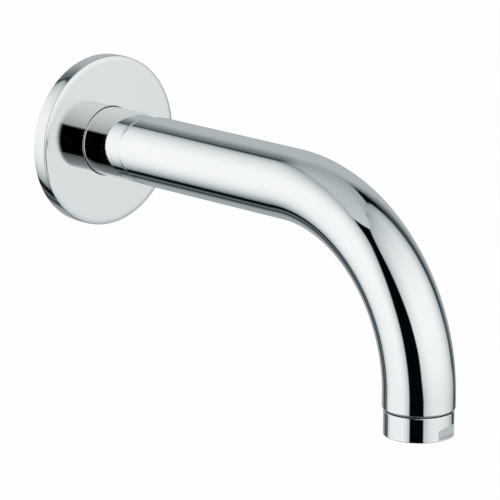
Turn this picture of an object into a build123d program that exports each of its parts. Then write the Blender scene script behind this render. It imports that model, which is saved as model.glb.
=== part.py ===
from build123d import *
from math import cos, hypot, radians, sin, sqrt
import os

# Wall spout in chromed brass. A bent tube slides over a nipple that is screwed into the wall, a loose
# flange covers the joint, and an aerator is screwed into the nose. Millimetres, +Z up. The finished
# wall is the plane Y = 0, the spout reaches out along -Y, and the origin is where the tube's axis
# meets the wall.

# Bent tube
TUBE_DIAMETER = 28.0
TUBE_WALL = 1.2
PROJECTION = 182.0              # from the wall to the outlet's axis
BEND_RADIUS = 69.0              # on the tube's axis
NOSE_STRAIGHT = 6.0             # straight run below the bend
NOSE_EDGE_RADIUS = 0.9
TUBE_END_SETBACK = 1.0          # the tube's cut end stands this far off the wall
TUBE_END_CHAMFER = 0.4

# Wall flange
FLANGE_DIAMETER = 69.5
FLANGE_THICKNESS = 6.6
FLANGE_FACE_WALL = 2.0
FLANGE_RIM_WALL = 2.0
FLANGE_ROLL_RADIUS = 6.0        # the face rolls back towards its rim
FLANGE_ROLL_WIDTH = 2.3
FLANGE_EDGE_RADIUS = 0.4
FLANGE_RIM_CROWN = 0.15         # the rim bulges this much between its edges
FLANGE_BORE_EDGE = 0.4
FLANGE_SLIDE_CLEARANCE = 0.15   # all round the tube
COLLAR_WALL = 3.4
COLLAR_SETBACK = 0.6            # the collar's back end stands this far off the wall
FLANGE_RING_SECTION = 1.7       # sealing ring, as squeezed between tube and groove
WALL_SEAL_WIDTH = 6.0

# Wall connection
PIPE_THREAD_DIAMETER = 20.955   # half-inch parallel pipe thread, over its crests
PIPE_THREAD_LENGTH = 14.0
PIPE_THREAD_CHAMFER = 1.2
INLET_BUSH_WALL = 2.65
INLET_BUSH_LEAD_IN = 1.2        # chamfer that lets the sealing rings slide in
SPIGOT_CLEARANCE = 0.1
SPIGOT_WALL = 4.4
SPIGOT_TIP_CHAMFER = 1.0
SPIGOT_TIP_ROOM = 2.0           # the bush runs on past the spigot's tip
NIPPLE_RING_SECTION = 1.7       # sealing rings, as squeezed between spigot and bush
NIPPLE_RING_PITCH = 5.5
NIPPLE_RING_OFFSET = 8.0        # first ring behind the grub screw
NIPPLE_RING_SETBACK = 4.5       # last ring from the spigot's tip
NIPPLE_KEY = 12.0               # hexagon key that screws the nipple in
NIPPLE_KEY_DEPTH = 10.0
SCREW_PLACE = 16.0              # from the wall, on the underside
SCREW_DIAMETER = 5.0
SCREW_SINK = 0.3                # the screw ends this far below the tube's surface
SCREW_POINT_CHAMFER = 1.0
SCREW_KEY = 2.5
SCREW_KEY_DEPTH = 2.4
SCREW_GROOVE_WIDTH = 6.5
SCREW_GROOVE_DEPTH = 1.2

# Outlet bush and aerator
OUTLET_BUSH_WALL = 1.0
OUTLET_BUSH_RECESS = 1.0        # the bush stops this far above the nose's end
BUSH_TAPER_LENGTH = 4.0
BUSH_TAPER_STEP = 0.3
SHOULDER_WIDTH = 2.0
SHOULDER_HEIGHT = 2.0
GASKET_THICKNESS = 1.6
GASKET_WIDTH = 2.9
GASKET_EDGE_ROOM = 0.1
AERATOR_SETBACK = 0.5           # the ring is this much smaller than the tube, all round
AERATOR_GAP = 0.5               # shadow line between nose and ring
AERATOR_RING_HEIGHT = 9.6
AERATOR_EDGE_RADIUS = 0.3
AERATOR_THREAD_LENGTH = 6.0     # above the nose's end
AERATOR_THREAD_WALL = 1.2
AERATOR_LIP_HEIGHT = 2.0
AERATOR_LIP_WIDTH = 1.1
KEY_FLAT_DEPTH = 1.5
KEY_FLAT_HEIGHT = 3.65
KEY_FLAT_LIP = 0.5              # full ring left below the flats
KEY_FLAT_RUNOUT = 1.0           # the cut slopes out over this height above a flat
KEY_FLAT_TURN = 15.2            # degrees about the outlet's axis
CARTRIDGE_CLEARANCE = 0.1
AIR_GAP = 0.4                   # ring-shaped air inlet inside the lip
REGULATOR_FACE_RECESS = 0.8     # outlet grid above the ring's lower edge
REGULATOR_WALL = 1.3
GRID_HEIGHT = 3.0
GRID_CELL = 1.7                 # across the flats of one six-sided hole
GRID_RIB = 0.45
AIR_SLOTS = 8
AIR_SLOT_WIDTH = 2.4
AIR_SLOT_HEIGHT = 2.0
AIR_CHANNEL_DEPTH = 0.6
DIVIDER_HEIGHT = 3.0
JET_DIAMETER = 1.1
JETS_OUTER = 14
JETS_INNER = 7
JET_INSET = 3.0                 # outer ring of jets from the divider's edge
JET_RING_PITCH = 2.6
STRAINER_RIM_HEIGHT = 3.0
STRAINER_HEIGHT = 4.4           # above its rim
STRAINER_WALL = 0.9
STRAINER_ROOM = 0.6             # between the strainer and the gasket's hole
STRAINER_EDGE_RADIUS = 2.2
STRAINER_SLITS = 14
STRAINER_SLIT_WIDTH = 1.0

# Fits shared by several pieces
BRAZE_GAP = 0.05                # brazed bushes in the tube
THREAD_CLEARANCE = 0.05         # between a thread and its hole, both drawn plain
SEAL_CLEARANCE = 0.02           # between a squeezed seal and the metal round it
GROOVE_SIDE_ROOM = 0.4          # beside a sealing ring in its groove

# Radii, worked out from the tube inwards
tube_radius = TUBE_DIAMETER / 2
tube_bore_radius = tube_radius - TUBE_WALL
bush_radius = tube_bore_radius - BRAZE_GAP
inlet_bore_radius = bush_radius - INLET_BUSH_WALL
spigot_radius = inlet_bore_radius - SPIGOT_CLEARANCE
waterway_radius = spigot_radius - SPIGOT_WALL
outlet_thread_radius = bush_radius - OUTLET_BUSH_WALL
shoulder_radius = outlet_thread_radius - SHOULDER_WIDTH
aerator_radius = tube_radius - AERATOR_SETBACK
aerator_thread_radius = outlet_thread_radius - THREAD_CLEARANCE
housing_bore_radius = aerator_thread_radius - AERATOR_THREAD_WALL
mouth_radius = housing_bore_radius - AERATOR_LIP_WIDTH
cartridge_radius = housing_bore_radius - CARTRIDGE_CLEARANCE
gasket_radius = outlet_thread_radius - GASKET_EDGE_ROOM
gasket_hole_radius = gasket_radius - GASKET_WIDTH
strainer_radius = gasket_hole_radius - STRAINER_ROOM
mixing_radius = cartridge_radius - REGULATOR_WALL

# Heights in the nose, measured from the tube's end, up is positive
nose_level = -(BEND_RADIUS + NOSE_STRAIGHT)
ring_bottom = -(AERATOR_GAP + AERATOR_RING_HEIGHT)
lip_top = ring_bottom + AERATOR_LIP_HEIGHT
thread_top = AERATOR_THREAD_LENGTH
gasket_top = thread_top + GASKET_THICKNESS
outlet_bush_top = gasket_top + SHOULDER_HEIGHT
strainer_bottom = thread_top - STRAINER_RIM_HEIGHT
divider_bottom = strainer_bottom - DIVIDER_HEIGHT
grid_bottom = ring_bottom + REGULATOR_FACE_RECESS
grid_top = grid_bottom + GRID_HEIGHT

# Distances from the wall along the tube
screw_hole_radius = SCREW_DIAMETER / 2 + THREAD_CLEARANCE
nipple_ring_places = [SCREW_PLACE + NIPPLE_RING_OFFSET]
nipple_ring_places.append(nipple_ring_places[0] + NIPPLE_RING_PITCH)
spigot_length = nipple_ring_places[-1] + NIPPLE_RING_SETBACK
inlet_bush_end = spigot_length + SPIGOT_TIP_ROOM

outlet_axis = Axis((0, -PROJECTION, 0), (0, 0, 1))
outlet_section = Plane(origin=(0, -PROJECTION, nose_level), x_dir=(1, 0, 0), z_dir=(0, -1, 0))


def outlet_level(height):
    """Level plane across the outlet's axis, at a height above the tube's end"""
    return Plane(origin=(0, -PROJECTION, nose_level + height), z_dir=(0, 0, 1))


def save(piece, name):
    """Name a finished piece and write it"""
    piece.part.label = name
    export_step(piece.part, f"parts/{name}.step")


os.makedirs("parts", exist_ok=True)

# Bent tube, with the hole for the grub screw on its underside
with BuildPart() as spout_tube:
    with BuildLine(Plane.YZ):
        FilletPolyline(
            (-TUBE_END_SETBACK, 0),
            (-PROJECTION, 0),
            (-PROJECTION, nose_level),
            radius=BEND_RADIUS,
        )
    with BuildSketch(Plane.XZ.offset(TUBE_END_SETBACK)):
        Circle(tube_radius)
        Circle(tube_bore_radius, mode=Mode.SUBTRACT)
    sweep()
    nose_edges = spout_tube.edges().group_by(Axis.Z)[0]
    fillet(nose_edges.sort_by(SortBy.RADIUS)[-1], NOSE_EDGE_RADIUS)
    wall_end_edges = spout_tube.edges().filter_by(GeomType.CIRCLE).group_by(Axis.Y)[-1]
    chamfer(wall_end_edges.sort_by(SortBy.RADIUS)[-1], TUBE_END_CHAMFER)
    with BuildSketch(Plane.XY):
        with Locations((0, -SCREW_PLACE)):
            Circle(screw_hole_radius)
    extrude(amount=-TUBE_DIAMETER, mode=Mode.SUBTRACT)
save(spout_tube, "spout_tube")

# Bush brazed into the wall end of the tube: a smooth bore for the spigot and the tapped screw hole
with BuildPart() as inlet_bush:
    with BuildSketch(Plane.XY):
        with BuildLine():
            Polyline(
                (inlet_bore_radius, -TUBE_END_SETBACK),
                (bush_radius, -TUBE_END_SETBACK),
                (bush_radius, -inlet_bush_end),
                (inlet_bore_radius, -inlet_bush_end),
                close=True,
            )
        make_face()
    revolve(axis=Axis.Y)
    mouth_edges = inlet_bush.edges().filter_by(GeomType.CIRCLE).group_by(Axis.Y)[-1]
    chamfer(mouth_edges.sort_by(SortBy.RADIUS)[0], INLET_BUSH_LEAD_IN)
    with BuildSketch(Plane.XY):
        with Locations((0, -SCREW_PLACE)):
            Circle(screw_hole_radius)
    extrude(amount=-TUBE_DIAMETER, mode=Mode.SUBTRACT)
save(inlet_bush, "inlet_bush")

# Nipple: pipe thread into the wall, spigot with a screw groove and two ring grooves into the tube
nipple_groove_radius = inlet_bore_radius - NIPPLE_RING_SECTION
screw_groove_radius = spigot_radius - SCREW_GROOVE_DEPTH
with BuildPart() as connection_nipple:
    pipe_thread_radius = PIPE_THREAD_DIAMETER / 2
    with BuildSketch(Plane.XY):
        with BuildLine():
            Polyline(
                (waterway_radius, PIPE_THREAD_LENGTH),
                (pipe_thread_radius, PIPE_THREAD_LENGTH),
                (pipe_thread_radius, 0),
                (spigot_radius, 0),
                (spigot_radius, -spigot_length),
                (waterway_radius, -spigot_length),
                close=True,
            )
        make_face()
    revolve(axis=Axis.Y)
    nipple_ends = connection_nipple.edges().filter_by(GeomType.CIRCLE).group_by(Axis.Y)
    chamfer(nipple_ends[-1].sort_by(SortBy.RADIUS)[-1], PIPE_THREAD_CHAMFER)
    chamfer(nipple_ends[0].sort_by(SortBy.RADIUS)[-1], SPIGOT_TIP_CHAMFER)
    with BuildSketch(Plane.XY):
        with Locations(*[(nipple_groove_radius, -place) for place in nipple_ring_places]):
            Rectangle(
                TUBE_DIAMETER,
                NIPPLE_RING_SECTION + 2 * GROOVE_SIDE_ROOM,
                align=(Align.MIN, Align.CENTER),
            )
        with Locations((screw_groove_radius, -SCREW_PLACE)):
            Rectangle(TUBE_DIAMETER, SCREW_GROOVE_WIDTH, align=(Align.MIN, Align.CENTER))
    revolve(axis=Axis.Y, mode=Mode.SUBTRACT)
    with BuildSketch(Plane.XZ.offset(spigot_length)):
        RegularPolygon(NIPPLE_KEY / 2, side_count=6, major_radius=False)
    extrude(amount=-NIPPLE_KEY_DEPTH, mode=Mode.SUBTRACT)
save(connection_nipple, "connection_nipple")

# Sealing rings on the spigot
for number, place in enumerate(nipple_ring_places, start=1):
    with BuildPart() as nipple_ring:
        with BuildSketch(Plane.XY):
            with Locations(((nipple_groove_radius + inlet_bore_radius) / 2, -place)):
                Circle(NIPPLE_RING_SECTION / 2 - SEAL_CLEARANCE)
        revolve(axis=Axis.Y)
    save(nipple_ring, f"nipple_o_ring_{number}")

# Grub screw: its point stands in the nipple's groove, its key hole faces down
with BuildPart() as grub_screw:
    screw_foot = -(tube_radius - SCREW_SINK)
    screw_tip = -(screw_groove_radius + THREAD_CLEARANCE)
    with BuildSketch(Plane.XY.offset(screw_foot)):
        with Locations((0, -SCREW_PLACE)):
            Circle(SCREW_DIAMETER / 2)
    extrude(amount=screw_tip - screw_foot)
    chamfer(grub_screw.edges().group_by(Axis.Z)[-1], SCREW_POINT_CHAMFER)
    with BuildSketch(Plane.XY.offset(screw_foot)):
        with Locations((0, -SCREW_PLACE)):
            RegularPolygon(SCREW_KEY / 2, side_count=6, major_radius=False)
    extrude(amount=SCREW_KEY_DEPTH, mode=Mode.SUBTRACT)
save(grub_screw, "grub_screw")

# Wall flange: a turned cup, open at the back, with a softly rolled front, a slightly crowned rim and a
# grooved collar round the tube
flange_radius = FLANGE_DIAMETER / 2
flange_bore_radius = tube_radius + FLANGE_SLIDE_CLEARANCE
flange_inner_radius = flange_radius - FLANGE_RIM_WALL
flange_depth = FLANGE_THICKNESS - FLANGE_FACE_WALL
collar_radius = flange_bore_radius + COLLAR_WALL
flange_groove_radius = tube_radius + FLANGE_RING_SECTION
flange_ring_place = (COLLAR_SETBACK + FLANGE_THICKNESS) / 2
rim_edge_radius = flange_radius - FLANGE_RIM_CROWN
roll_start_radius = rim_edge_radius - FLANGE_ROLL_WIDTH
roll_drop = FLANGE_ROLL_RADIUS - sqrt(FLANGE_ROLL_RADIUS**2 - FLANGE_ROLL_WIDTH**2)
rim_front = FLANGE_THICKNESS - roll_drop
with BuildPart() as wall_flange:
    with BuildSketch(Plane.XY):
        with BuildLine():
            face = Line((flange_bore_radius, -FLANGE_THICKNESS), (roll_start_radius, -FLANGE_THICKNESS))
            TangentArc(face @ 1, (rim_edge_radius, -rim_front), tangent=face % 1)
            ThreePointArc(
                (rim_edge_radius, -rim_front),
                (flange_radius, -rim_front / 2),
                (rim_edge_radius, 0),
            )
            Polyline(
                (rim_edge_radius, 0),
                (flange_inner_radius, 0),
                (flange_inner_radius, -flange_depth),
                (collar_radius, -flange_depth),
                (collar_radius, -COLLAR_SETBACK),
                (flange_bore_radius, -COLLAR_SETBACK),
                (flange_bore_radius, -FLANGE_THICKNESS),
            )
        make_face()
    revolve(axis=Axis.Y)
    flange_edges = wall_flange.edges().filter_by(lambda edge: edge.is_closed)
    bore_edge = flange_edges.group_by(SortBy.RADIUS)[0].sort_by(Axis.Y)[0]
    rim_edge = flange_edges.group_by(SortBy.RADIUS)[-1].sort_by(Axis.Y)[0]
    fillet(bore_edge, FLANGE_BORE_EDGE)
    fillet(rim_edge, FLANGE_EDGE_RADIUS)
    with BuildSketch(Plane.XY):
        with Locations((flange_groove_radius, -flange_ring_place)):
            Rectangle(
                FLANGE_RING_SECTION,
                FLANGE_RING_SECTION + 2 * GROOVE_SIDE_ROOM,
                align=(Align.MAX, Align.CENTER),
            )
    revolve(axis=Axis.Y, mode=Mode.SUBTRACT)
save(wall_flange, "wall_flange")

# Sealing ring between flange and tube
with BuildPart() as flange_o_ring:
    with BuildSketch(Plane.XY):
        with Locations(((tube_radius + flange_groove_radius) / 2, -flange_ring_place)):
            Circle(FLANGE_RING_SECTION / 2 - SEAL_CLEARANCE)
    revolve(axis=Axis.Y)
save(flange_o_ring, "flange_o_ring")

# Foam ring in the back of the flange, flush with the wall
with BuildPart() as wall_seal:
    with BuildSketch(Plane.XZ):
        Circle(flange_inner_radius - SEAL_CLEARANCE)
        Circle(flange_inner_radius - WALL_SEAL_WIDTH, mode=Mode.SUBTRACT)
    extrude(amount=flange_depth)
save(wall_seal, "wall_seal")

# Bush brazed into the nose: the aerator's thread and the shoulder that its gasket seals on. Its upper
# end is tapered, so that it clears the start of the bend
bush_in_bend = max(outlet_bush_top - NOSE_STRAIGHT, 0)
bush_taper = BUSH_TAPER_STEP + bush_in_bend**2 / (2 * (BEND_RADIUS - tube_bore_radius))
with BuildPart() as outlet_bush:
    with BuildSketch(outlet_section):
        with BuildLine():
            Polyline(
                (outlet_thread_radius, OUTLET_BUSH_RECESS),
                (bush_radius, OUTLET_BUSH_RECESS),
                (bush_radius, outlet_bush_top - BUSH_TAPER_LENGTH),
                (bush_radius - bush_taper, outlet_bush_top),
                (shoulder_radius, outlet_bush_top),
                (shoulder_radius, gasket_top),
                (outlet_thread_radius, gasket_top),
                close=True,
            )
        make_face()
    revolve(axis=outlet_axis)
save(outlet_bush, "outlet_bush")

# Aerator housing: ring below the nose, thread inside it, lip that holds the cartridge, and two
# key flats that run out upwards
with BuildPart() as aerator_housing:
    with BuildSketch(outlet_section):
        with BuildLine():
            Polyline(
                (mouth_radius, ring_bottom),
                (aerator_radius, ring_bottom),
                (aerator_radius, -AERATOR_GAP),
                (aerator_thread_radius, -AERATOR_GAP),
                (aerator_thread_radius, thread_top),
                (housing_bore_radius, thread_top),
                (housing_bore_radius, lip_top),
                (mouth_radius, lip_top),
                close=True,
            )
        make_face()
    revolve(axis=outlet_axis)
    ring_edges = aerator_housing.edges().filter_by(GeomType.CIRCLE)
    outer_edges = ring_edges.group_by(SortBy.RADIUS)[-1]
    fillet(outer_edges, AERATOR_EDGE_RADIUS)
    chamfer(ring_edges.group_by(Axis.Z)[0].sort_by(SortBy.RADIUS)[0], AERATOR_EDGE_RADIUS)
    flat_turn = radians(KEY_FLAT_TURN)
    flat_section = Plane(
        origin=(0, -PROJECTION, nose_level + ring_bottom),
        x_dir=(-sin(flat_turn), cos(flat_turn), 0),
        z_dir=(cos(flat_turn), sin(flat_turn), 0),
    )
    flat_reach = aerator_radius - KEY_FLAT_DEPTH
    flat_top = KEY_FLAT_LIP + KEY_FLAT_HEIGHT
    cut_reach = aerator_radius + KEY_FLAT_DEPTH
    with BuildSketch(flat_section):
        with BuildLine():
            Polyline(
                (flat_reach, KEY_FLAT_LIP),
                (cut_reach, KEY_FLAT_LIP),
                (cut_reach, flat_top + 2 * KEY_FLAT_RUNOUT),
                (flat_reach, flat_top),
                close=True,
            )
        make_face()
        mirror(about=Plane.YZ)
    extrude(amount=aerator_radius, both=True, mode=Mode.SUBTRACT)
save(aerator_housing, "aerator_housing")

# Flat gasket between the aerator and the bush's shoulder
with BuildPart() as aerator_gasket:
    with BuildSketch(outlet_level(thread_top)):
        Circle(gasket_radius)
        Circle(gasket_hole_radius, mode=Mode.SUBTRACT)
    extrude(amount=GASKET_THICKNESS)
save(aerator_gasket, "aerator_gasket")

# Strainer: slit dome that keeps grit out of the jets, with the rim that the gasket presses on
with BuildPart() as strainer_dome:
    strainer_top = thread_top + STRAINER_HEIGHT
    with BuildSketch(outlet_section):
        with BuildLine():
            Polyline(
                (strainer_radius - STRAINER_WALL, strainer_bottom),
                (cartridge_radius, strainer_bottom),
                (cartridge_radius, thread_top),
                (strainer_radius, thread_top),
                (strainer_radius, strainer_top),
                (0, strainer_top),
                (0, strainer_top - STRAINER_WALL),
                (strainer_radius - STRAINER_WALL, strainer_top - STRAINER_WALL),
                close=True,
            )
        make_face()
    revolve(axis=outlet_axis)
    dome_edges = strainer_dome.edges().filter_by(GeomType.CIRCLE).group_by(Axis.Z)
    fillet(dome_edges[-1], STRAINER_EDGE_RADIUS)
    with BuildSketch(outlet_level(thread_top)):
        with PolarLocations(strainer_radius, STRAINER_SLITS):
            Rectangle(2 * STRAINER_EDGE_RADIUS, STRAINER_SLIT_WIDTH)
    extrude(amount=STRAINER_HEIGHT, mode=Mode.SUBTRACT)
save(strainer_dome, "strainer_dome")

# Jet divider: disc with two rings of fine jets
with BuildPart() as jet_divider:
    outer_jets = cartridge_radius - JET_INSET
    with BuildSketch(outlet_level(divider_bottom)):
        Circle(cartridge_radius)
        with PolarLocations(outer_jets, JETS_OUTER):
            Circle(JET_DIAMETER / 2, mode=Mode.SUBTRACT)
        with PolarLocations(outer_jets - JET_RING_PITCH, JETS_INNER):
            Circle(JET_DIAMETER / 2, mode=Mode.SUBTRACT)
    extrude(amount=DIVIDER_HEIGHT)
save(jet_divider, "jet_divider")


def honeycomb_cells(reach, pitch):
    """Centres of the cells that lie within reach of the middle"""
    rows = int(reach / pitch) + 1
    centres = []
    for row in range(-rows, rows + 1):
        for step in range(-2 * rows, 2 * rows + 1):
            across = pitch * (step + row / 2)
            along = pitch * row * sqrt(3) / 2
            if hypot(across, along) <= reach:
                centres.append((across, along))
    return centres


# Jet regulator: cup with the honeycomb outlet grid as its floor, air channels up its outside and
# windows into the mixing space
with BuildPart() as jet_regulator:
    face_radius = mouth_radius - AIR_GAP
    with BuildSketch(outlet_section):
        with BuildLine():
            Polyline(
                (0, grid_bottom),
                (face_radius, grid_bottom),
                (face_radius, lip_top),
                (cartridge_radius, lip_top),
                (cartridge_radius, divider_bottom),
                (mixing_radius, divider_bottom),
                (mixing_radius, grid_top),
                (0, grid_top),
                close=True,
            )
        make_face()
    revolve(axis=outlet_axis)
    cell_pitch = GRID_CELL + GRID_RIB
    cell_reach = min(face_radius, mixing_radius) - GRID_RIB - GRID_CELL / sqrt(3)
    with BuildSketch(outlet_level(grid_bottom)):
        with Locations(*honeycomb_cells(cell_reach, cell_pitch)):
            RegularPolygon(GRID_CELL / 2, side_count=6, major_radius=False, rotation=30)
    extrude(amount=GRID_HEIGHT, mode=Mode.SUBTRACT)
    window_top = divider_bottom - REGULATOR_WALL
    with BuildSketch(outlet_level(lip_top)):
        with PolarLocations(cartridge_radius, AIR_SLOTS):
            Rectangle(2 * AIR_CHANNEL_DEPTH, AIR_SLOT_WIDTH)
    extrude(amount=window_top - lip_top, mode=Mode.SUBTRACT)
    with BuildSketch(outlet_level(window_top - AIR_SLOT_HEIGHT)):
        with PolarLocations(cartridge_radius, AIR_SLOTS):
            Rectangle(4 * REGULATOR_WALL, AIR_SLOT_WIDTH)
    extrude(amount=AIR_SLOT_HEIGHT, mode=Mode.SUBTRACT)
save(jet_regulator, "jet_regulator")
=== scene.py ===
import math

import bpy
import numpy as np
from mathutils import Matrix, Vector


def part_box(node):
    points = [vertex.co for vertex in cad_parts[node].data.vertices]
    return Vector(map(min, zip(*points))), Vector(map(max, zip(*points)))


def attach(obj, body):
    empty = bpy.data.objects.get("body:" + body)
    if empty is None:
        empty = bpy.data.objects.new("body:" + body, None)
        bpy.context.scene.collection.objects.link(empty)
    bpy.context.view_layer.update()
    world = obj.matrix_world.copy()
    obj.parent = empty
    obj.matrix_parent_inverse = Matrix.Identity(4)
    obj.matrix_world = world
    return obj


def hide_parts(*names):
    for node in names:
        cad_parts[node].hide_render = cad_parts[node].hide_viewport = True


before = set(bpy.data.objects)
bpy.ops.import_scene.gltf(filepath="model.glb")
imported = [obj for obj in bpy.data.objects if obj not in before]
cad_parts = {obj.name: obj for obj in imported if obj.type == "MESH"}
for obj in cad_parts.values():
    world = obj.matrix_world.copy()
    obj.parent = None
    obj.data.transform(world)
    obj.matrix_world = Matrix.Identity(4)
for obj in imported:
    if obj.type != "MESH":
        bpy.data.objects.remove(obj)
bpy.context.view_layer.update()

# Wall spout in chromed brass, on white. Metres, +Z up: the finished wall is the plane Y = 0, the spout
# reaches out along -Y and the outlet points down.

MM = 0.001
FINEST = 0.05 * MM                # sizes read from the frame are whole multiples of this


def measured(node):
    """A node's lowest and highest corner, to the nearest twentieth of a millimetre"""
    return [[round(value / FINEST) * FINEST for value in corner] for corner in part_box(node)]


# Bent tube
(_, tube_far, nose_level), (tube_radius, tube_near, _) = measured("spout_tube")
TUBE_WALL = 1.2 * MM
BEND_RADIUS = 69.0 * MM           # on the tube's axis
NOSE_EDGE = 0.9 * MM              # rounding of the tube's lower end
TUBE_END_CHAMFER = 0.4 * MM
SCREW_PLACE = 16.0 * MM           # grub screw on the underside, from the wall
SCREW_HOLE_RADIUS = 2.55 * MM
tube_bore = tube_radius - TUBE_WALL
projection = -tube_far - tube_radius
straight_run = projection - BEND_RADIUS
tube_start = -tube_near
tube_end = straight_run + BEND_RADIUS * math.pi / 2 + (-nose_level - BEND_RADIUS)

# Wall flange
(_, flange_front, _), (flange_radius, _, _) = measured("wall_flange")
FLANGE_FACE_WALL = 2.0 * MM
FLANGE_RIM_WALL = 2.0 * MM
FLANGE_ROLL_RADIUS = 6.0 * MM     # the face rolls back towards its rim
FLANGE_ROLL_WIDTH = 2.3 * MM
FLANGE_EDGE = 0.4 * MM
FLANGE_RIM_CROWN = 0.15 * MM      # the rim bulges this much between its edges
FLANGE_BORE_EDGE = 0.4 * MM
FLANGE_CLEARANCE = 0.15 * MM      # all round the tube
FLANGE_COLLAR_WALL = 3.4 * MM
FLANGE_COLLAR_SETBACK = 0.6 * MM
RING_GROOVE_WIDTH = 2.5 * MM
RING_GROOVE_DEPTH = 1.7 * MM      # from the tube's surface
flange_thickness = -flange_front

# Aerator housing
(_, _, housing_bottom), (aerator_radius, _, housing_top) = measured("aerator_housing")
AERATOR_GAP = 0.5 * MM            # shadow line between nose and ring
AERATOR_EDGE = 0.3 * MM
AERATOR_THREAD_RADIUS = 11.7 * MM
HOUSING_BORE = 10.5 * MM
MOUTH_RADIUS = 9.4 * MM
LIP_HEIGHT = 2.0 * MM
KEY_FLAT_DEPTH = 1.5 * MM
KEY_FLAT_HEIGHT = 3.65 * MM
KEY_FLAT_LIP = 0.5 * MM           # full ring left below the flats
KEY_FLAT_RUNOUT = 1.0 * MM        # the cut slopes out over this height above a flat
KEY_FLAT_TURN = math.radians(15.2)

# Wall nipple
(_, nipple_tip, _), (_, pipe_thread_end, _) = measured("connection_nipple")
PIPE_THREAD_RADIUS = 20.955 / 2 * MM
PIPE_THREAD_PITCH = 1.814 * MM
PIPE_THREAD_DEPTH = 1.162 * MM
PIPE_THREAD_ROUNDING = 0.249 * MM
PIPE_THREAD_FLANK = math.radians(27.5)
PIPE_THREAD_CHAMFER = 1.2 * MM
PIPE_THREAD_RUNOUT = 1.6 * MM
SPIGOT_RADIUS = 10.0 * MM
SPIGOT_TIP_CHAMFER = 1.0 * MM
WATERWAY_RADIUS = 5.6 * MM
SCREW_GROOVE_WIDTH = 6.5 * MM
SCREW_GROOVE_RADIUS = 8.8 * MM
NIPPLE_GROOVE_RADIUS = 8.4 * MM
NIPPLE_GROOVE_PLACES = (24.0 * MM, 29.5 * MM)
NIPPLE_KEY_REACH = 6.0 * MM       # hexagon for the fitting key, from its middle to a flat
NIPPLE_KEY_DEPTH = 10.0 * MM

# How finely the round pieces are divided
COLUMNS = 180
BEND_STEP = math.radians(1.5)
EDGE_STEPS = 10
WINDOW_COLUMNS = 18               # columns and rows of the square round the screw hole
WINDOW_RINGS = 4
FLAT_COLUMNS = 24
THREAD_COLUMNS = 144
THREAD_ROWS = 20                  # in one pitch
NIPPLE_SHARP_EDGE = math.radians(40)
WELD = 0.001 * MM
full_turn = np.linspace(0, 2 * math.pi, COLUMNS + 1)


# Meshes

def unit(vector):
    return vector / np.linalg.norm(vector)


def section_runs(corners, stations=()):
    """Straight and rounded runs of a closed section, each as points and outward normals.

    A corner is (radius, distance along the axis, rounding). Corners go round with the metal on their
    left. A straight run also gets a point at each station along the axis that it passes."""
    places = [np.array(corner[:2]) for corner in corners]
    count = len(corners)
    line_ends = []
    bends = []
    for index, here in enumerate(places):
        rounding = corners[index][2]
        back = unit(places[index - 1] - here)
        onward = unit(places[(index + 1) % count] - here)
        if not rounding:
            line_ends.append((here, here))
            bends.append(None)
            continue
        half = math.acos(back @ onward) / 2
        cut = rounding / math.tan(half)
        centre = here + unit(back + onward) * rounding / math.sin(half)
        first = here + back * cut
        line_ends.append((first, here + onward * cut))
        side = math.copysign(1, back[1] * onward[0] - back[0] * onward[1])
        start = math.atan2(first[1] - centre[1], first[0] - centre[0])
        angles = start + side * np.linspace(0, math.pi - 2 * half, EDGE_STEPS)
        spokes = np.column_stack([np.cos(angles), np.sin(angles)])
        bends.append((centre + rounding * spokes, side * spokes))
    runs = []
    for index in range(count):
        start = line_ends[index][1]
        end = line_ends[(index + 1) % count][0]
        step = end - start
        shares = [0, 1]
        if step[1]:
            passed = [(station - start[1]) / step[1] for station in stations]
            shares += [share for share in passed if WELD < share < 1 - WELD]
        points = start + np.sort(shares)[:, None] * step
        right = unit(np.array([step[1], -step[0]]))
        runs.append((points, np.tile(right, (len(points), 1))))
        if bends[(index + 1) % count]:
            runs.append(bends[(index + 1) % count])
    return runs


def arc_run(centre, radius, start, end):
    """Rounded run of a section about a centre, from one angle to another"""
    angles = np.linspace(start, end, EDGE_STEPS)
    spokes = np.column_stack([np.cos(angles), np.sin(angles)])
    return centre + radius * spokes, spokes


def bearing_of(step):
    return math.atan2(step[1], step[0])


def wall_axis(distances):
    """Straight out from the wall: points on the axis, and the directions across, up and onward"""
    zero = np.zeros_like(distances)
    across = np.column_stack([zero + 1, zero, zero])
    up = np.column_stack([zero, zero, zero + 1])
    return np.column_stack([zero, -distances, zero]), across, up, np.column_stack([zero, zero - 1, zero])


def spout_axis(distances):
    """Along the tube: out from the wall, round the bend and down the nose"""
    turn = np.clip((distances - straight_run) / BEND_RADIUS, 0, math.pi / 2)
    past_bend = np.maximum(distances - straight_run - BEND_RADIUS * math.pi / 2, 0)
    out = np.minimum(distances, straight_run) + BEND_RADIUS * np.sin(turn)
    drop = BEND_RADIUS * (1 - np.cos(turn)) + past_bend
    zero = np.zeros_like(distances)
    centres = np.column_stack([zero, -out, -drop])
    up = np.column_stack([zero, -np.sin(turn), np.cos(turn)])
    onward = np.column_stack([zero, -np.cos(turn), -np.sin(turn)])
    return centres, np.column_stack([zero + 1, zero, zero]), up, onward


def outlet_axis(heights):
    """Up the outlet"""
    zero = np.zeros_like(heights)
    across = np.column_stack([zero + 1, zero, zero])
    inward = np.column_stack([zero, zero + 1, zero])
    onward = np.column_stack([zero, zero, zero + 1])
    return np.column_stack([zero, zero - projection, heights]), across, inward, onward


def turned_sheet(run, axis, angles=full_turn):
    """Grid of points and normals that a run of a section sweeps round an axis"""
    points, normals = run
    centres, across, up, onward = axis(points[:, 1])
    angles = np.atleast_2d(angles)[:, :, None]
    spokes = np.cos(angles) * across[:, None] + np.sin(angles) * up[:, None]
    place = centres[:, None] + points[:, 0, None, None] * spokes
    facing = normals[:, 0, None, None] * spokes + normals[:, 1, None, None] * onward[:, None]
    return place, facing


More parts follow.
